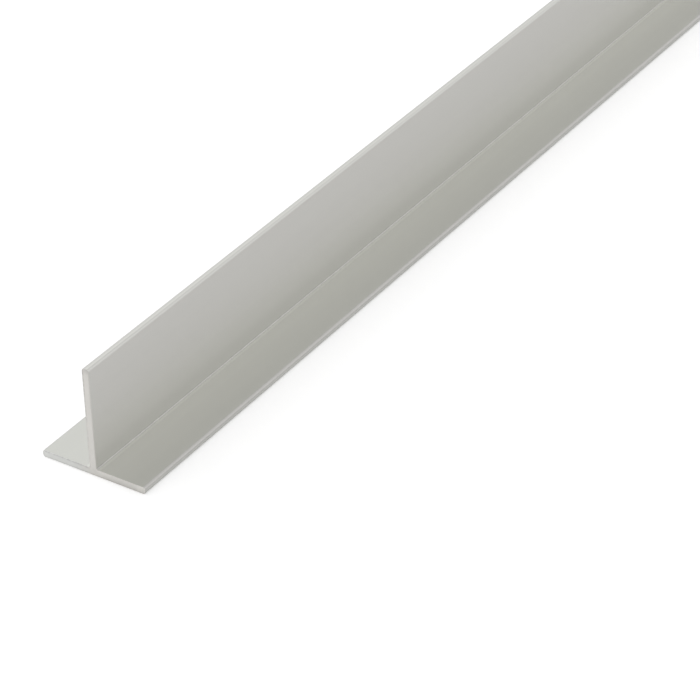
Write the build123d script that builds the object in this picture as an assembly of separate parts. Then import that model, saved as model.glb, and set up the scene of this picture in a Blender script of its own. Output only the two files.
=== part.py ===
from build123d import *

import os

# Aluminium tee section, an extruded bar of stock that lies on its flange with the web upright.
# The length runs along X and the width along Y, with Z up. The origin is the middle of the
# flange's underside, so that the bar rests on the level plane Z = 0.

# Driving dimensions, in millimetres
length = 1000.0
flange_width = 23.5
section_height = 23.5
flange_thickness = 1.5
web_thickness = 1.5

# The die leaves a small fillet where the web springs from the flange, and rounds every outer edge
root_radius = 0.25
edge_radius = 0.5

# A sawn end is deburred all round, which takes the sharpness off its edge
end_break = 0.1


def outer_corners(section):
    """The six corners at the two tips of the flange and on the crest of the web."""
    corners = section.vertices()
    from_left_to_right = corners.group_by(Axis.X)
    from_base_to_crest = corners.group_by(Axis.Y)
    return from_left_to_right[0] + from_left_to_right[-1] + from_base_to_crest[-1]


def tee_section():
    """The section that the die gives, X across and Y up, with its base line's middle at the origin."""
    standing = (Align.CENTER, Align.MIN)
    flange = Rectangle(flange_width, flange_thickness, align=standing)
    web = Rectangle(web_thickness, section_height, align=standing)
    sharp = flange + web

    root_line = (0, flange_thickness)
    roots = sharp.vertices().sort_by_distance(root_line)[:2]
    filleted = fillet(roots, root_radius)
    return fillet(outer_corners(filleted), edge_radius)


def tee_bar():
    """The bar: the section extruded half the length each way, then sawn square and deburred."""
    bar = extrude(Plane.YZ * tee_section(), amount=length / 2, both=True)
    sawn_ends = bar.faces().sort_by(Axis.X)
    return chamfer(sawn_ends[0].edges() + sawn_ends[-1].edges(), end_break)


os.makedirs("parts", exist_ok=True)
export_step(tee_bar(), "parts/tee_bar.step")
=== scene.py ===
"""Looks of an aluminium tee section: the anodised bar with its sawn ends, in a white studio.

Everything is in metres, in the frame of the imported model: the bar lies along X on its flange, with
the web up and the middle of its underside at the origin. Its near end is the one at -X, and its
right side is the one at -Y.
"""

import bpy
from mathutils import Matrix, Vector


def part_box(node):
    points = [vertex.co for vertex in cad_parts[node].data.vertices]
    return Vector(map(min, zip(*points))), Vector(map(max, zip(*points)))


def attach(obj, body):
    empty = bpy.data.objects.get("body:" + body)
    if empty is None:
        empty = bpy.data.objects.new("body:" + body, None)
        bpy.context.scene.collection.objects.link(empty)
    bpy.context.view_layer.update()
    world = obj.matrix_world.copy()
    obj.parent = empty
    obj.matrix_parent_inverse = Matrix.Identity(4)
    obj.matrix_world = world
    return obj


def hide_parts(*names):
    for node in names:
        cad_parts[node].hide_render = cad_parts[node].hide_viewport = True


bl_info = {
    "name": "Aluminium tee section",
    "version": (1, 0, 0),
    "blender": (4, 5, 0),
    "location": "3D View > Sidebar > Tee Section",
    "description": "Builds a satin anodised aluminium tee bar with sawn ends, and its studio",
    "category": "Object",
}

import math

import bmesh
import bpy
from bpy.props import FloatProperty, FloatVectorProperty, IntProperty, PointerProperty
from mathutils import Matrix, Vector

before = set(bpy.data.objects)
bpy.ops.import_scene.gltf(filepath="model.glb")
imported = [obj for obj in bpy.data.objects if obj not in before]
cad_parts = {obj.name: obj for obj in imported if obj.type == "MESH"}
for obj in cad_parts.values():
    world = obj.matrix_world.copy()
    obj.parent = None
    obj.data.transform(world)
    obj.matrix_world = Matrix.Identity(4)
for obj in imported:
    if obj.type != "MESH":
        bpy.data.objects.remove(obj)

BAR_NODE = "tee_bar"

# Layer of the faces that the deburring of the sawn ends makes, and faces across each of them
CUT = "cut"
END_BREAK_STEPS = 2

# Painted light and shade over the film: slow changes of tone that stand in for how the light falls
# across the section, where 1 leaves its colour as it is. They run from the right tip of the flange
# to the root, up the web from the root, over the crest from right to left, and up the tips from the
# underside.
RIGHT_FLANGE_TONES = (0.92, 0.93, 0.96, 1.0, 1.07, 1.18, 1.28)
LEFT_FLANGE_TONE = 0.9
UNDERSIDE_TONE = 0.92
WEB_TONES = (0.79, 0.967, 1.035, 1.02, 1.0, 0.99, 0.98)
CREST_TONES = (0.96, 0.99, 1.02, 0.93, 0.86, 0.86, 0.87)
TIP_TONES = (0.78, 1.04)

# How much paler the painted highlight makes the strip beside each root, and how far the crest takes
# the flange's colour
PAINTED_PALENESS = 0.115
CREST_COOLNESS = 0.4

# Lengths of the single lines, sizes of the specks and sizes of the cloudy patches
DIE_LINE_LENGTH = 0.09
SAW_LINE_LENGTH = 0.02
ETCH_SPECK = 0.00012
TORN_SPECK = 0.0001
FILM_CLOUD = (0.12, 0.006, 0.006)
CUT_CLOUD = (0.003, 0.003, 0.003)

# How strongly the lines and the patches show in the tone of the film, and of a sawn end
FILM_STREAKS = 0.03
FILM_CLOUDINESS = 0.02
CUT_STREAKS = 0.08
CUT_CLOUDINESS = 0.05

# How much rougher or smoother than in the middle the specks make the film, and a sawn end
FILM_SWING = 0.03
CUT_SWING = 0.06

# How many uneven patches a metre has in the painted shade along the tips and roots of the film, in
# the painted shade along the edges of a sawn end, and along the border of its cooler metal
EDGE_SHADE_PATCHES = 700.0
CUT_SHADE_PATCHES = 1300.0
BORDER_PATCHES = 400.0

# Where the saw's hub is from the origin, in radii of the blade, and the part that the torn specks
# have in the relief of a sawn end, where its lines have the rest
BLADE_SIDE = (0.0, 0.6, -0.8)
TORN_SHARE = 0.3

# How strong the painted shade along the edges of a sawn end is, from the bottom to the top of the
# flange and of the web
CUT_SHADE_UP_FLANGE = (0.3, 1.0)
CUT_SHADE_UP_WEB = (0.4, 1.35)

# The other tones of a sawn end, each with the two places that it changes between and the tones at
# them. The places are across the bar, for painted light that makes the +Y side lighter, below the
# crest, in from the right edge of the web, and away from the painted glint.
PAINTED_LIGHT_ACROSS = (-0.006, 0.009, 0.99, 1.1)
CROWN = (0.0001, 0.0014, 0.85, 1.0)
RUBBED = (0.0, 0.00035, 0.93, 1.0)
PAINTED_GLINT = (0.0003, 0.0012, 1.07, 1.0)

# Where the painted glint is from the lower right corner of the near end
GLINT_PLACE = Vector((0.0, 0.001, 0.0009))

# Painted shade on a sawn end: up the right of the flange the tones go from the first to the second,
# and that fades out between two places across the bar
RIGHT_END_SHADE_TONES = (0.96, 1.06)
RIGHT_END_SHADE_FADE = (-0.0025, -0.0005)

# Where the metal turns cooler across a sawn end, and how far the border wanders
COOL_BORDER = (0.002, 0.006)
BORDER_SWING = 0.004

# How far the floor lies under the bar in metres, and how far it reaches each way in lengths of the
# bar
FLOOR_GAP = 0.00001
FLOOR_REACH = 12

# The softbox's middle, the point that it is turned to, and its width and height
SOFTBOX_PLACE = Vector((-0.2, 1.3, 1.2))
SOFTBOX_TARGET = Vector((-0.3, 0.0, 0.0))
SOFTBOX_SIDES = (2.0, 1.4)

# The mirrored surroundings change with this power of the height in them, and gain their glow
# between these cosines of the angle to the softbox
OVERHEAD_POWER = 4.0
GLOW_COSINES = (0.7, 0.95)

# Width of the sensor that the focal length belongs to, in millimetres
SENSOR_WIDTH = 36.0


class TeeSectionShape(bpy.types.PropertyGroup):
    """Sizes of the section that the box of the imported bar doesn't give."""

    wall: FloatProperty(
        name="Wall thickness",
        description="Thickness of the flange and of the web",
        default=0.0015,
        min=0.0005,
        precision=5,
        unit="LENGTH",
    )
    edge_radius: FloatProperty(
        name="Edge radius",
        description="Rounding of the flange tips and of the crest of the web",
        default=0.0005,
        min=0.00001,
        precision=5,
        unit="LENGTH",
    )
    root_radius: FloatProperty(
        name="Root radius",
        description="Fillet where the web springs from the flange",
        default=0.00025,
        min=0.00001,
        precision=5,
        unit="LENGTH",
    )
    end_break: FloatProperty(
        name="End break",
        description="Edge that deburring takes off round a sawn end",
        default=0.0001,
        min=0.00001,
        precision=5,
        unit="LENGTH",
    )
    rounding_steps: IntProperty(
        name="Rounding steps",
        description="Faces across each long rounding and fillet",
        default=8,
        min=2,
        max=24,
    )
    lengths: IntProperty(
        name="Lengths",
        description="Pieces that the faces are divided into along the bar",
        default=40,
        min=1,
        max=200,
    )


class TeeSectionFinish(bpy.types.PropertyGroup):
    """Colours and surface of the anodised skin and of the sawn ends."""

    film_colour: FloatVectorProperty(
        name="Film colour",
        description="Colour of the natural anodic film on the flange and the crest",
        subtype="COLOR",
        size=3,
        min=0.0,
        max=1.0,
        default=(0.662, 0.668, 0.63),
    )
    web_film_colour: FloatVectorProperty(
        name="Web film colour",
        description="Colour of the film on the web, a shade warmer than on the flange",
        subtype="COLOR",
        size=3,
        min=0.0,
        max=1.0,
        default=(0.676, 0.668, 0.642),
    )
    film_roughness: FloatProperty(
        name="Film roughness",
        description="Roughness of the satin film on the web",
        subtype="FACTOR",
        default=0.44,
        min=0.0,
        max=1.0,
    )
    flange_roughness: FloatProperty(
        name="Flange roughness",
        description="Roughness of the satin film on the flange and the crest, which rub smoother",
        subtype="FACTOR",
        default=0.32,
        min=0.0,
        max=1.0,
    )
    die_line_depth: FloatProperty(
        name="Die line depth",
        description="Depth of the fine lines that the die draws along the bar",
        default=0.0000015,
        min=0.0,
        precision=7,
        unit="LENGTH",
    )
    die_line_spacing: FloatProperty(
        name="Die line spacing",
        description="Distance from one fine die line to the next",
        default=0.00022,
        min=0.00001,
        precision=5,
        unit="LENGTH",
    )
    etch_depth: FloatProperty(
        name="Etch depth",
        description="Depth of the fine grain that etching leaves before the bar is anodised",
        default=0.0000012,
        min=0.0,
        precision=7,
        unit="LENGTH",
    )
    # Painted shade over the highlight along the tips of the flange
    edge_shade: FloatProperty(
        name="Edge dullness",
        description="How much darker the rubbed edges of the flange are",
        subtype="FACTOR",
        default=0.165,
        min=0.0,
        max=1.0,
    )
    # Painted shade in the roots
    root_shade: FloatProperty(
        name="Root dullness",
        description="How much darker the roots are",
        subtype="FACTOR",
        default=0.38,
        min=0.0,
        max=1.0,
    )
    root_roughness: FloatProperty(
        name="Root roughness",
        description="Roughness of the film in the roots, which nothing rubs",
        subtype="FACTOR",
        default=0.5,
        min=0.0,
        max=1.0,
    )
    cut_colour: FloatVectorProperty(
        name="Cut colour",
        description="Colour of the bare sawn metal",
        subtype="COLOR",
        size=3,
        min=0.0,
        max=1.0,
        default=(0.715, 0.7, 0.668),
    )
    cool_cut_colour: FloatVectorProperty(
        name="Cool cut colour",
        description="Colour of the sawn metal where the blade leaves it, on the +Y side",
        subtype="COLOR",
        size=3,
        min=0.0,
        max=1.0,
        default=(0.705, 0.708, 0.69),
    )
    # Width of the painted shade along the left and low edges of a sawn end
    cut_shade_width: FloatProperty(
        name="Rolled edge",
        description="Width of the dull edge that the saw rolls over where its teeth leave",
        default=0.00036,
        min=0.00001,
        precision=5,
        unit="LENGTH",
    )
    # Painted shade: how much darker those edges of a sawn end are
    cut_edge_shade: FloatProperty(
        name="Rolled edge dullness",
        description="How much darker the rolled edge is",
        subtype="FACTOR",
        default=0.19,
        min=0.0,
        max=1.0,
    )
    cut_roughness: FloatProperty(
        name="Cut roughness",
        description="Roughness of the bare sawn metal",
        subtype="FACTOR",
        default=0.45,
        min=0.0,
        max=1.0,
    )
    saw_radius: FloatProperty(
        name="Saw radius",
        description="Radius of the blade, which curves the lines on a sawn end",
        default=0.125,
        min=0.01,
        unit="LENGTH",
    )
    saw_line_depth: FloatProperty(
        name="Saw line depth",
        description="Depth of the lines on a sawn end",
        default=0.000006,
        min=0.0,
        precision=7,
        unit="LENGTH",
    )
    saw_line_spacing: FloatProperty(
        name="Saw line spacing",
        description="Distance from one saw line to the next",
        default=0.0003,
        min=0.00001,
        precision=5,
        unit="LENGTH",
    )


class TeeSectionStudio(bpy.types.PropertyGroup):
    """The floor, the light and the camera."""

    floor_colour: FloatVectorProperty(
        name="Floor colour",
        description="Colour of the floor",
        subtype="COLOR",
        size=3,
        min=0.0,
        max=1.0,
        default=(0.9, 0.9, 0.9),
    )
    floor_lift: FloatProperty(
        name="Floor lift",
        description="Light that the floor adds where it is seen, so that it shows white",
        subtype="FACTOR",
        default=0.3,
        min=0.0,
        max=1.0,
    )
    floor_lift_mirrored: FloatProperty(
        name="Floor lift in the metal",
        description="Light that the floor adds where the metal mirrors it",
        subtype="FACTOR",
        default=0.05,
        min=0.0,
        max=1.0,
    )
    surroundings: FloatProperty(
        name="Surroundings",
        description="Strength of the white light that falls on things from all round",
        default=0.8,
        min=0.0,
    )
    overhead: FloatProperty(
        name="Overhead",
        description="Strength of the surroundings straight overhead, as the metal mirrors them",
        subtype="FACTOR",
        default=0.5,
        min=0.0,
        max=1.0,
    )
    softbox_glow: FloatProperty(
        name="Softbox glow",
        description="Strength that the mirrored surroundings gain towards the softbox",
        default=0.22,
        min=0.0,
    )
    softbox_power: FloatProperty(
        name="Softbox power",
        description="Power of the softbox behind the bar",
        default=8.0,
        min=0.0,
    )
    lens: FloatProperty(
        name="Lens",
        description="Focal length on a sensor 36 mm wide",
        subtype="DISTANCE_CAMERA",
        default=155.34,
        min=10.0,
    )
    aim: FloatVectorProperty(
        name="Aim",
        description="Point of the floor in the middle of the picture, from the bar's near end",
        subtype="TRANSLATION",
        size=3,
        precision=5,
        default=(0.05955, -0.01764, 0.0),
    )
    distance: FloatProperty(
        name="Distance",
        description="From the camera to its aim",
        unit="LENGTH",
        default=0.58984,
        min=0.1,
    )
    azimuth: FloatProperty(
        name="Azimuth",
        description="Turn of the camera about the vertical, from looking along +Y",
        subtype="ANGLE",
        default=math.radians(-56.062),
    )
    elevation: FloatProperty(
        name="Elevation",
        description="Angle at which the camera looks down",
        subtype="ANGLE",
        default=math.radians(33.419),
    )
    roll: FloatProperty(
        name="Roll",
        description="Turn of the camera about its own line of sight",
        subtype="ANGLE",
        default=math.radians(1.579),
    )


def in_order(items):
    """The items without repeats, in the order in which they first come."""
    return list(dict.fromkeys(items))


def make_section(bm, low, high, shape):
    """A flange the length of the bar, with the web drawn up from a strip along its middle."""
    length, width, height = high - low
    bmesh.ops.create_cube(bm, size=1.0)
    bmesh.ops.scale(bm, vec=(length, width, shape.wall), verts=bm.verts)
    bmesh.ops.translate(bm, vec=(0.0, 0.0, low.z + shape.wall / 2), verts=bm.verts)

    for side in (-1, 1):
        top = [face for face in bm.faces if face.normal.z > 0.5]
        edges = in_order(edge for face in top for edge in face.edges)
        corners = in_order(corner for face in top for corner in face.verts)
        bmesh.ops.bisect_plane(
            bm,
            geom=top + edges + corners,
            plane_co=(0.0, side * shape.wall / 2, 0.0),
            plane_no=(0.0, 1.0, 0.0),
        )
        bm.normal_update()

    strip = min(
        (face for face in bm.faces if face.normal.z > 0.5),
        key=lambda face: abs(face.calc_center_median().y),
    )
    drawn = bmesh.ops.extrude_face_region(bm, geom=[strip])
    risen = [item for item in drawn["geom"] if isinstance(item, bmesh.types.BMVert)]
    bmesh.ops.translate(bm, vec=(0.0, 0.0, height - shape.wall), verts=risen)
    bmesh.ops.delete(bm, geom=[strip], context="FACES_ONLY")
    bmesh.ops.recalc_face_normals(bm, faces=bm.faces)
    seams = [
        edge
        for edge in bm.edges
        if len(edge.link_faces) == 2 and all(abs(face.normal.x) > 0.5 for face in edge.link_faces)
    ]
    bmesh.ops.dissolve_edges(bm, edges=seams, use_verts=False)


def round_edges(bm, edges, radius, steps):
    """Rounds the edges, and gives the faces that this makes."""
    made = bmesh.ops.bevel(
        bm,
        geom=edges,
        offset=radius,
        offset_type="OFFSET",
        affect="EDGES",
        segments=steps,
        profile=0.5,
        material=-1,
        clamp_overlap=True,
    )
    return made["faces"]


def long_edges(bm, length, convex):
    """The edges that run the whole length of the bar: the outer ones, or the two roots."""
    return [
        edge
        for edge in bm.edges
        if abs(edge.verts[0].co.x - edge.verts[1].co.x) > length / 2 and edge.is_convex == convex
    ]


def end_edges(bm):
    """The outline of both sawn ends."""
    ends = [face for face in bm.faces if abs(face.normal.x) > 0.5]
    return in_order(edge for face in ends for edge in face.edges)


def divide_length(bm, low, high, lengths):
    """Divides the long faces evenly, which keeps them from being needles."""
    for step in range(1, lengths):
        place = low.x + (high.x - low.x) * step / lengths
        bmesh.ops.bisect_plane(
            bm,
            geom=bm.faces[:] + bm.edges[:] + bm.verts[:],
            plane_co=(place, 0.0, 0.0),
            plane_no=(1.0, 0.0, 0.0),
        )


def add_piece(name, bm, materials):
    """Makes an object of the bmesh, with its place in its mesh."""
    mesh = bpy.data.meshes.new(name)
    bm.to_mesh(mesh)
    bm.free()
    for material in materials:
        mesh.materials.append(material)
    piece = bpy.data.objects.new(name, mesh)
    bpy.context.scene.collection.objects.link(piece)
    return piece


def build_bar(shape, finish):
    """The whole bar: its skin is anodised, and its sawn ends with their broken edges are bare."""
    low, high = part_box(BAR_NODE)
    length = high.x - low.x
    bm = bmesh.new()
    bm.faces.layers.float.new(CUT)
    make_section(bm, low, high, shape)
    round_edges(bm, long_edges(bm, length, False), shape.root_radius, shape.rounding_steps)
    round_edges(bm, long_edges(bm, length, True), shape.edge_radius, shape.rounding_steps)
    broken = round_edges(bm, end_edges(bm), shape.end_break, END_BREAK_STEPS)
    cut = bm.faces.layers.float[CUT]
    for face in broken:
        face[cut] = 1.0
    divide_length(bm, low, high, shape.lengths)
    for face in bm.faces:
        face.smooth = True
        if abs(face.normal.x) > 0.99 or face[cut] > 0.5:
            face.material_index = 1

    bar = add_piece(
        "sawn_tee_bar", bm, [anodised_material(finish, shape), sawn_material(finish, shape)]
    )
    flats = bar.modifiers.new("Flat faces stay flat", "WEIGHTED_NORMAL")
    flats.mode = "FACE_AREA"
    flats.weight = 100
    flats.keep_sharp = False
    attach(bar, "root")
    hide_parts(BAR_NODE)
    return bar


class Nodes:
    """A small hand for building a node tree: adds nodes and feeds their inputs."""

    def __init__(self, tree):
        self.tree = tree
        tree.nodes.clear()

    def add(self, kind, inputs=None, **settings):
        """Adds a node, makes its settings, and feeds its inputs with outputs or plain values."""
        node = self.tree.nodes.new(kind)
        for name, setting in settings.items():
            setattr(node, name, setting)
        for name, term in (inputs or {}).items():
            if isinstance(term, bpy.types.NodeSocket):
                self.tree.links.new(term, node.inputs[name])
            else:
                node.inputs[name].default_value = term
        return node

    def math(self, operation, *terms):
        """One sum on numbers."""
        return self.add("ShaderNodeMath", dict(enumerate(terms)), operation=operation).outputs[0]

    def vector(self, operation, *terms):
        """One sum on vectors that gives a vector."""
        node = self.add("ShaderNodeVectorMath", dict(enumerate(terms)), operation=operation)
        return node.outputs["Vector"]

    def measure(self, operation, *terms):
        """One sum on vectors that gives a number."""
        node = self.add("ShaderNodeVectorMath", dict(enumerate(terms)), operation=operation)
        return node.outputs["Value"]

    def split(self, vector):
        """The X, Y and Z of a vector."""
        return self.add("ShaderNodeSeparateXYZ", {"Vector": vector}).outputs

    def join(self, x=0.0, y=0.0, z=0.0):
        """A vector of three numbers."""
        return self.add("ShaderNodeCombineXYZ", {"X": x, "Y": y, "Z": z}).outputs[0]

    def noise(self, vector, scale=1.0, detail=2.0, roughness=0.5):
        """Soft random values from 0 to 1, about 0.5 in the middle."""
        return self.add(
            "ShaderNodeTexNoise",
            {"Vector": vector, "Scale": scale, "Detail": detail, "Roughness": roughness},
        ).outputs["Fac"]

    def around_one(self, value, amount):
        """1 where the value is 0.5, more where it is higher and less where it is lower."""
        return self.math("MULTIPLY_ADD", self.math("SUBTRACT", value, 0.5), amount, 1.0)

    def ramp(self, value, low, high, out_low=0.0, out_high=1.0):
        """A smooth rise from one value to another, or a fall."""
        limits = {"From Min": low, "From Max": high, "To Min": out_low, "To Max": out_high}
        return self.add(
            "ShaderNodeMapRange", {"Value": value, **limits}, interpolation_type="SMOOTHSTEP"
        ).outputs["Result"]

    def tones(self, value, low, high, tones):
        """A smooth curve through tones that stand at even steps from low to high."""
        share = self.add("ShaderNodeMapRange", {"Value": value, "From Min": low, "From Max": high})
        curve = self.add("ShaderNodeValToRGB", {"Fac": share.outputs["Result"]})
        curve.color_ramp.interpolation = "CARDINAL"
        stops = curve.color_ramp.elements
        while len(stops) < len(tones):
            stops.new(0.5)
        # The curve's colours stay below 1, so they hold half of each tone
        for step, tone in enumerate(tones):
            stops[step].position = step / (len(tones) - 1)
            stops[step].color = (tone / 2, tone / 2, tone / 2, 1.0)
        return self.math("MULTIPLY", curve.outputs["Color"], 2.0)

    def blend(self, factor, first, second):
        """The first number where the factor is 0 and the second where it is 1."""
        inputs = {0: factor, 2: first, 3: second}
        return self.add("ShaderNodeMix", inputs, data_type="FLOAT").outputs[0]

    def mix_colours(self, factor, first, second):
        """The first colour where the factor is 0 and the second where it is 1."""
        inputs = {0: factor, 6: (*first, 1.0), 7: (*second, 1.0)}
        return self.add("ShaderNodeMix", inputs, data_type="RGBA").outputs[2]

    def group(self, tree, inputs):
        """Places a node group that has one output, and gives that output."""
        return self.add("ShaderNodeGroup", inputs, node_tree=tree).outputs[0]


def new_group(name, inputs, output):
    """An empty shader node group with named sockets: its tree, its hand and what it is given."""
    tree = bpy.data.node_groups.new(name, "ShaderNodeTree")
    for label, kind in inputs.items():
        tree.interface.new_socket(label, in_out="INPUT", socket_type=kind)
    tree.interface.new_socket(output, in_out="OUTPUT", socket_type="NodeSocketFloat")
    nodes = Nodes(tree)
    given = nodes.add("NodeGroupInput").outputs
    return tree, nodes, given


def tool_lines():
    """Fine uneven lines that a die or a blade leaves, running along the vector's X."""
    name = "Tool lines"
    if name in bpy.data.node_groups:
        return bpy.data.node_groups[name]
    tree, nodes, given = new_group(
        name,
        {
            "Vector": "NodeSocketVector",
            "Length": "NodeSocketFloat",
            "Spacing": "NodeSocketFloat",
        },
        "Lines",
    )
    size = nodes.join(given["Length"], given["Spacing"], given["Spacing"])
    place = nodes.vector("DIVIDE", given["Vector"], size)
    fine = nodes.noise(place, detail=2.0, roughness=0.6)
    broad = nodes.noise(place, scale=0.13, detail=1.0)
    both = nodes.math("MULTIPLY_ADD", broad, 0.4, nodes.math("MULTIPLY", fine, 0.6))
    nodes.add("NodeGroupOutput", {"Lines": both})
    return tree


def grain():
    """Fine even grain of etched or torn metal."""
    name = "Metal grain"
    if name in bpy.data.node_groups:
        return bpy.data.node_groups[name]
    tree, nodes, given = new_group(
        name, {"Vector": "NodeSocketVector", "Size": "NodeSocketFloat"}, "Grain"
    )
    scale = nodes.math("DIVIDE", 1.0, given["Size"])
    specks = nodes.noise(given["Vector"], scale, detail=3.0, roughness=0.65)
    nodes.add("NodeGroupOutput", {"Grain": specks})
    return tree


def cloudy_tone():
    """Slow change of tone over the metal: 1 on the whole, a little more or less in patches."""
    name = "Cloudy tone"
    if name in bpy.data.node_groups:
        return bpy.data.node_groups[name]
    tree, nodes, given = new_group(
        name,
        {
            "Vector": "NodeSocketVector",
            "Size": "NodeSocketVector",
            "Amount": "NodeSocketFloat",
        },
        "Tone",
    )
    place = nodes.vector("DIVIDE", given["Vector"], given["Size"])
    clouds = nodes.noise(place, detail=3.0, roughness=0.55)
    amount = nodes.math("MULTIPLY", given["Amount"], 2.0)
    nodes.add("NodeGroupOutput", {"Tone": nodes.around_one(clouds, amount)})
    return tree


def new_material(name):
    """An empty node material, and the hand that fills it."""
    material = bpy.data.materials.new(name)
    material.use_nodes = True
    return material, Nodes(material.node_tree)


def metal(nodes, colour, tones, roughness, height, depth):
    """Metal of a colour times its tones, with a relief of the given depth."""
    shade = colour
    for tone in tones:
        inputs = {0: shade, "Scale": tone}
        shade = nodes.add("ShaderNodeVectorMath", inputs, operation="SCALE").outputs["Vector"]
    relief = nodes.add("ShaderNodeBump", {"Height": height, "Strength": 1.0, "Distance": depth})
    shader = nodes.add(
        "ShaderNodeBsdfPrincipled",
        {
            "Base Color": shade,
            "Metallic": 1.0,
            "Roughness": roughness,
            "Normal": relief.outputs["Normal"],
        },
    )
    nodes.add("ShaderNodeOutputMaterial", {"Surface": shader.outputs["BSDF"]})


def near_line(nodes, split, across, up, reach):
    """1 beside a line that runs along the bar on both sides of it, falling to 0 at the reach."""
    aside = nodes.math("SUBTRACT", nodes.math("ABSOLUTE", split["Y"]), across)
    above = nodes.math("SUBTRACT", split["Z"], up)
    away = nodes.measure("LENGTH", nodes.join(aside, above))
    return nodes.ramp(away, 0.2 * reach, reach, 1.0, 0.0)


def section_shading(nodes, split, low, high, shape):
    """Painted light and shade over the section, with where the film lies on the flange and where on
    the crest.
    """
    across, up = split["Y"], split["Z"]
    half = shape.wall / 2
    foot = low.z + shape.wall
    on_flange = nodes.ramp(up, foot, foot + 2 * shape.root_radius, 1.0, 0.0)
    on_crest = nodes.ramp(up, high.z - shape.edge_radius, high.z)
    on_top = nodes.ramp(up, low.z + shape.edge_radius, foot - shape.edge_radius)
    aside = nodes.math("ABSOLUTE", across)
    on_tip = nodes.ramp(aside, high.y - 0.3 * shape.edge_radius, high.y)

    right = nodes.tones(across, low.y, -half, RIGHT_FLANGE_TONES)
    flange = nodes.blend(nodes.ramp(across, -half, half), right, LEFT_FLANGE_TONE)
    flange = nodes.blend(on_top, UNDERSIDE_TONE, flange)
    web = nodes.tones(up, foot, high.z, WEB_TONES)
    crest = nodes.tones(across, -half, half, CREST_TONES)
    tip = nodes.ramp(up, low.z, low.z + half, *TIP_TONES)

    tone = nodes.blend(on_flange, web, flange)
    tone = nodes.blend(on_crest, tone, crest)
    tone = nodes.blend(on_tip, tone, tip)
    return tone, on_flange, on_crest


def anodised_material(finish, shape):
    """Satin natural anodised aluminium, with the die's lines along the bar, and painted light and
    shade over its section, its tips and its roots.
    """
    material, nodes = new_material("Anodised aluminium")
    place = nodes.add("ShaderNodeTexCoord").outputs["Object"]
    split = nodes.split(place)
    low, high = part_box(BAR_NODE)

    lines = nodes.group(
        tool_lines(),
        {"Vector": place, "Length": DIE_LINE_LENGTH, "Spacing": finish.die_line_spacing},
    )
    specks = nodes.group(grain(), {"Vector": place, "Size": ETCH_SPECK})
    clouds = nodes.group(
        cloudy_tone(), {"Vector": place, "Size": FILM_CLOUD, "Amount": FILM_CLOUDINESS}
    )
    streaks = nodes.around_one(lines, FILM_STREAKS)
    # The section's painted light and shade
    painted_shading, on_flange, on_crest = section_shading(nodes, split, low, high, shape)

    # Painted shade dims the highlight along the tips of the flange and darkens the roots. On the
    # flange a painted highlight makes a paler strip beside each root.
    half = shape.wall / 2
    foot = low.z + shape.wall
    edge, fillet = shape.edge_radius, shape.root_radius
    tip = near_line(nodes, split, high.y, foot - 0.5 * edge, 1.6 * edge)
    root = near_line(nodes, split, half, foot + 0.45 * fillet, 1.6 * fillet)
    # Painted highlight in a strip beside each root
    beside = near_line(nodes, split, half + 1.8 * fillet, foot, 2.4 * fillet)
    root_highlight = nodes.math("MULTIPLY_ADD", beside, PAINTED_PALENESS, 1.0)
    uneven = nodes.ramp(nodes.noise(place, scale=EDGE_SHADE_PATCHES), 0.2, 0.8, 0.8, 1.0)
    shade_mask = nodes.math("MULTIPLY", nodes.math("MAXIMUM", tip, root), uneven)
    depth = nodes.blend(root, finish.edge_shade, finish.root_shade)
    painted_edge_shade = nodes.math("SUBTRACT", 1.0, nodes.math("MULTIPLY", shade_mask, depth))

    # The flange has a cooler film than the web, the crest one between them
    plain = nodes.math("SUBTRACT", 1.0, nodes.math("MAXIMUM", root, tip))
    cooler = nodes.math(
        "MAXIMUM",
        nodes.math("MULTIPLY", on_flange, plain),
        nodes.math("MULTIPLY", on_crest, CREST_COOLNESS),
    )
    film = nodes.mix_colours(cooler, finish.web_film_colour, finish.film_colour)

    rubbed = nodes.math("MAXIMUM", on_flange, on_crest)
    middle = nodes.blend(rubbed, finish.film_roughness, finish.flange_roughness)
    satin = nodes.math("SUBTRACT", middle, FILM_SWING)
    roughness = nodes.math("MULTIPLY_ADD", specks, 2 * FILM_SWING, satin)
    roughness = nodes.blend(root, roughness, finish.root_roughness)

    total = finish.die_line_depth + finish.etch_depth
    share = finish.etch_depth / total
    height = nodes.math("MULTIPLY_ADD", specks, share, nodes.math("MULTIPLY", lines, 1.0 - share))
    metal(nodes, film, (clouds, streaks, painted_edge_shade, root_highlight, painted_shading), roughness, height, total)
    return material


def blade_arcs(nodes, place, finish):
    """Where the place lies along the blade's arc, how far from its hub, and along the bar."""
    hub = Vector(BLADE_SIDE) * finish.saw_radius
    arm = nodes.split(nodes.vector("SUBTRACT", place, hub))
    radius = nodes.measure("LENGTH", nodes.join(y=arm["Y"], z=arm["Z"]))
    turn = nodes.math("ARCTAN2", arm["Y"], arm["Z"])
    return nodes.join(nodes.math("MULTIPLY", turn, finish.saw_radius), radius, arm["X"])


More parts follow.
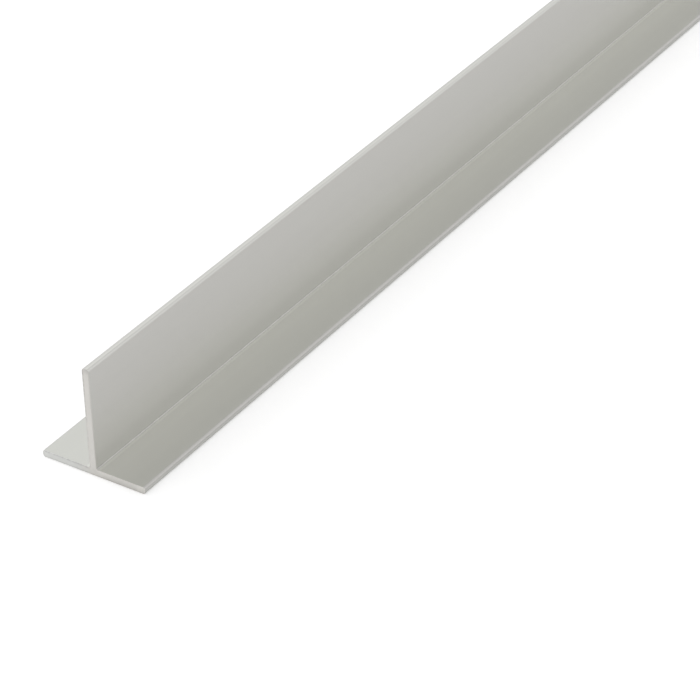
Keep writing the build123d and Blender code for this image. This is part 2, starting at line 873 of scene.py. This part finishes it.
def cut_edge_shade(nodes, place, low, high, shape, finish):
    """Painted shade along the left and low edges of a sawn end, as a tone."""
    split = nodes.split(place)
    across, up = split["Y"], split["Z"]
    half = shape.wall / 2
    top = low.z + shape.wall
    on_web = nodes.math("GREATER_THAN", up, top)
    left_of_web = nodes.math("GREATER_THAN", across, half)

    to_side = nodes.math("SUBTRACT", nodes.blend(on_web, high.y, half), across)
    to_floor = nodes.math("SUBTRACT", up, low.z)
    to_top = nodes.blend(left_of_web, 1.0, nodes.math("SUBTRACT", top, up))
    inward = nodes.math("MINIMUM", nodes.math("MINIMUM", to_side, to_floor), to_top)
    width = finish.cut_shade_width
    edge = nodes.ramp(inward, 0.4 * width, 1.4 * width, 1.0, 0.0)

    patchy = nodes.ramp(nodes.noise(place, scale=CUT_SHADE_PATCHES), 0.35, 0.6, 0.3, 1.0)
    up_flange = nodes.ramp(up, low.z, top, *CUT_SHADE_UP_FLANGE)
    up_web = nodes.ramp(up, top, high.z, *CUT_SHADE_UP_WEB)
    fading = nodes.blend(on_web, up_flange, up_web)
    shaded_rim = nodes.math("MULTIPLY", nodes.math("MULTIPLY", edge, patchy), fading)
    return nodes.math("MULTIPLY_ADD", shaded_rim, -finish.cut_edge_shade, 1.0)


def cut_tones(nodes, place, low, high, shape):
    """The other tones of a sawn end.

    It has painted light that makes it lighter towards +Y, is darker under the crest and along the
    right edge of the web, has painted shade that makes the right of the flange darker below and
    lighter above, and has a painted glint near that tip.
    """
    split = nodes.split(place)
    across, up = split["Y"], split["Z"]
    half = shape.wall / 2
    top = low.z + shape.wall
    on_web = nodes.math("GREATER_THAN", up, top)

    # Painted light, lighter towards +Y
    painted_light = nodes.ramp(across, *PAINTED_LIGHT_ACROSS)
    crown = nodes.ramp(nodes.math("SUBTRACT", high.z, up), *CROWN)
    from_right = nodes.math("ADD", across, half)
    rubbed = nodes.blend(on_web, 1.0, nodes.ramp(from_right, *RUBBED))
    # Painted shade, darker low on the right of the flange
    up_the_end = nodes.ramp(up, low.z + 0.2 * shape.wall, top - 0.3 * shape.wall, *RIGHT_END_SHADE_TONES)
    on_right_flange = nodes.ramp(across, *RIGHT_END_SHADE_FADE, 1.0, 0.0)
    right_end_shade = nodes.blend(on_right_flange, 1.0, up_the_end)
    # Painted glint near the right tip
    glint = nodes.ramp(nodes.measure("DISTANCE", place, low + GLINT_PLACE), *PAINTED_GLINT)
    return painted_light, crown, rubbed, right_end_shade, glint


def sawn_material(finish, shape):
    """Bare aluminium as a saw leaves it, with the blade's shallow arcs, and painted light and shade
    over it.
    """
    material, nodes = new_material("Sawn aluminium")
    place = nodes.add("ShaderNodeTexCoord").outputs["Object"]
    low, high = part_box(BAR_NODE)

    lines = nodes.group(
        tool_lines(),
        {
            "Vector": blade_arcs(nodes, place, finish),
            "Length": SAW_LINE_LENGTH,
            "Spacing": finish.saw_line_spacing,
        },
    )
    specks = nodes.group(grain(), {"Vector": place, "Size": TORN_SPECK})
    clouds = nodes.group(
        cloudy_tone(), {"Vector": place, "Size": CUT_CLOUD, "Amount": CUT_CLOUDINESS}
    )
    streaks = nodes.around_one(lines, CUT_STREAKS)
    # Painted shade along the left and low edges
    painted_edge_shade = cut_edge_shade(nodes, place, low, high, shape, finish)
    painted_light, crown, rubbed, right_end_shade, glint = cut_tones(nodes, place, low, high, shape)

    # The bare metal turns cooler from the web on, with an uneven border
    across = nodes.split(place)["Y"]
    wander = nodes.noise(place, scale=BORDER_PATCHES)
    border = nodes.math("MULTIPLY_ADD", wander, BORDER_SWING, across)
    bare = nodes.mix_colours(
        nodes.ramp(border, *COOL_BORDER), finish.cut_colour, finish.cool_cut_colour
    )

    smoothest = finish.cut_roughness - CUT_SWING
    roughness = nodes.math("MULTIPLY_ADD", specks, 2 * CUT_SWING, smoothest)
    arcs = nodes.math("MULTIPLY", lines, 1.0 - TORN_SHARE)
    height = nodes.math("MULTIPLY_ADD", specks, TORN_SHARE, arcs)
    metal(
        nodes,
        bare,
        (clouds, streaks, painted_light, painted_edge_shade, crown, rubbed, right_end_shade, glint),
        roughness,
        height,
        finish.saw_line_depth,
    )
    return material


def shown_directly(nodes):
    """1 on rays from the camera, mirrored and refracted ones, 0 on those that only light things."""
    path = nodes.add("ShaderNodeLightPath").outputs
    seen = nodes.math("MAXIMUM", path["Is Camera Ray"], path["Is Glossy Ray"])
    return nodes.math("MAXIMUM", seen, path["Is Transmission Ray"])


def floor_material(studio):
    """A white studio floor: plain matt colour, lifted to white where it is seen, under any shadow.

    It can't be seen from below, nor by rays that leave the underside of the bar straight into it,
    so that a camera under the floor shows the underside in the same white light.
    """
    material, nodes = new_material("Studio floor")
    matt = nodes.add("ShaderNodeBsdfDiffuse", {"Color": (*studio.floor_colour, 1.0)})
    path = nodes.add("ShaderNodeLightPath").outputs
    straight = nodes.math("MAXIMUM", path["Is Camera Ray"], path["Is Transmission Ray"])
    mirrored = nodes.math("MULTIPLY", path["Is Glossy Ray"], studio.floor_lift_mirrored)
    lift = nodes.math("MULTIPLY_ADD", straight, studio.floor_lift, mirrored)
    glow = nodes.add("ShaderNodeEmission", {"Strength": lift})
    white = nodes.add("ShaderNodeAddShader", {0: matt.outputs[0], 1: glow.outputs[0]})

    from_below = nodes.add("ShaderNodeNewGeometry").outputs["Backfacing"]
    from_underside = nodes.math("LESS_THAN", path["Ray Length"], 3 * FLOOR_GAP)
    unseen = nodes.math("MAXIMUM", from_below, from_underside)
    clear = nodes.add("ShaderNodeBsdfTransparent")
    shader = nodes.add(
        "ShaderNodeMixShader", {0: unseen, 1: white.outputs[0], 2: clear.outputs[0]}
    )
    nodes.add("ShaderNodeOutputMaterial", {"Surface": shader.outputs[0]})
    return material


def build_floor(studio):
    """A plain floor that the bar lies on, wide enough for every view.

    It is a hair lower than the underside, because two faces in one plane show each other's streaks.
    """
    low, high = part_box(BAR_NODE)
    bm = bmesh.new()
    reach = FLOOR_REACH * (high.x - low.x)
    bmesh.ops.create_grid(bm, x_segments=4, y_segments=4, size=reach)
    bmesh.ops.translate(bm, vec=(0.0, 0.0, low.z - FLOOR_GAP), verts=bm.verts)
    floor = add_piece("studio_floor", bm, [floor_material(studio)])
    return floor


def near_end():
    """The middle of the underside at the near end."""
    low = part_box(BAR_NODE)[0]
    return Vector((low.x, 0.0, low.z))


def build_surroundings(studio):
    """White all round. The metal mirrors them dimmer overhead and brighter towards the softbox."""
    world = bpy.data.worlds.new("Studio")
    world.use_nodes = True
    nodes = Nodes(world.node_tree)
    direction = nodes.add("ShaderNodeTexCoord").outputs["Generated"]
    overhead = nodes.math("POWER", nodes.split(direction)["Z"], OVERHEAD_POWER)
    mirrored = nodes.math("MULTIPLY_ADD", overhead, studio.overhead - 1.0, 1.0)
    beam = (SOFTBOX_PLACE - near_end()).normalized()
    towards = nodes.measure("DOT_PRODUCT", direction, beam)
    glow = nodes.ramp(towards, *GLOW_COSINES, 0.0, studio.softbox_glow)
    mirrored = nodes.math("ADD", mirrored, glow)
    strength = nodes.blend(shown_directly(nodes), studio.surroundings, mirrored)
    sky = nodes.add("ShaderNodeBackground", {"Strength": strength, "Color": (1.0, 1.0, 1.0, 1.0)})
    nodes.add("ShaderNodeOutputWorld", {"Surface": sky.outputs[0]})
    bpy.context.scene.world = world


def build_softbox(studio):
    """One large softbox, above the bar and to its left."""
    lamp = bpy.data.lights.new("Softbox", "AREA")
    lamp.shape = "RECTANGLE"
    lamp.size, lamp.size_y = SOFTBOX_SIDES
    lamp.energy = studio.softbox_power
    softbox = bpy.data.objects.new("Softbox", lamp)
    softbox.location = SOFTBOX_PLACE
    softbox.rotation_mode = "QUATERNION"
    softbox.rotation_quaternion = (SOFTBOX_TARGET - SOFTBOX_PLACE).to_track_quat("-Z", "Y")
    softbox.visible_glossy = False
    bpy.context.scene.collection.objects.link(softbox)


def place_camera(studio):
    """The photograph's view: the near end low on the left, the bar leaving at the top right."""
    aim = near_end() + Vector(studio.aim)
    flat = math.cos(studio.elevation)
    back = Vector(
        (
            math.sin(studio.azimuth) * flat,
            -math.cos(studio.azimuth) * flat,
            math.sin(studio.elevation),
        )
    )
    lens = bpy.data.cameras.new("Camera")
    lens.lens = studio.lens
    lens.sensor_width = SENSOR_WIDTH
    lens.clip_start = 0.01
    lens.clip_end = 100.0
    camera = bpy.data.objects.new("Camera", lens)
    camera.rotation_mode = "QUATERNION"
    level = (-back).to_track_quat("-Z", "Y")
    camera.rotation_quaternion = level @ Matrix.Rotation(-studio.roll, 3, "Z").to_quaternion()
    camera.location = aim + back * studio.distance
    bpy.context.scene.collection.objects.link(camera)
    bpy.context.scene.camera = camera


class TEE_OT_build_bar(bpy.types.Operator):
    """Build the anodised bar with its sawn ends."""

    bl_idname = "tee_section.build_bar"
    bl_label = "Build Bar"

    def execute(self, context):
        build_bar(context.scene.tee_shape, context.scene.tee_finish)
        return {"FINISHED"}


class TEE_OT_build_studio(bpy.types.Operator):
    """Build the floor, the light and the camera."""

    bl_idname = "tee_section.build_studio"
    bl_label = "Build Studio"

    def execute(self, context):
        studio = context.scene.tee_studio
        build_floor(studio)
        build_surroundings(studio)
        build_softbox(studio)
        place_camera(studio)
        return {"FINISHED"}


class VIEW3D_PT_tee_section(bpy.types.Panel):
    """Sizes and finish of the tee section, and what builds it."""

    bl_label = "Tee Section"
    bl_space_type = "VIEW_3D"
    bl_region_type = "UI"
    bl_category = "Tee Section"

    def draw(self, context):
        scene = context.scene
        for group, operator in (
            (scene.tee_shape, None),
            (scene.tee_finish, TEE_OT_build_bar),
            (scene.tee_studio, TEE_OT_build_studio),
        ):
            column = self.layout.column()
            for name in group.__annotations__:
                column.prop(group, name)
            if operator:
                column.operator(operator.bl_idname)


CLASSES = (
    TeeSectionShape,
    TeeSectionFinish,
    TeeSectionStudio,
    TEE_OT_build_bar,
    TEE_OT_build_studio,
    VIEW3D_PT_tee_section,
)


def register():
    for cls in CLASSES:
        bpy.utils.register_class(cls)
    bpy.types.Scene.tee_shape = PointerProperty(type=TeeSectionShape)
    bpy.types.Scene.tee_finish = PointerProperty(type=TeeSectionFinish)
    bpy.types.Scene.tee_studio = PointerProperty(type=TeeSectionStudio)


def unregister():
    del bpy.types.Scene.tee_studio
    del bpy.types.Scene.tee_finish
    del bpy.types.Scene.tee_shape
    for cls in reversed(CLASSES):
        bpy.utils.unregister_class(cls)


def main():
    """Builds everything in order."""
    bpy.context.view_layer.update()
    register()
    bpy.context.scene.view_settings.view_transform = "Standard"
    bpy.ops.tee_section.build_bar()
    bpy.ops.tee_section.build_studio()


if __name__ == "__main__":
    main()
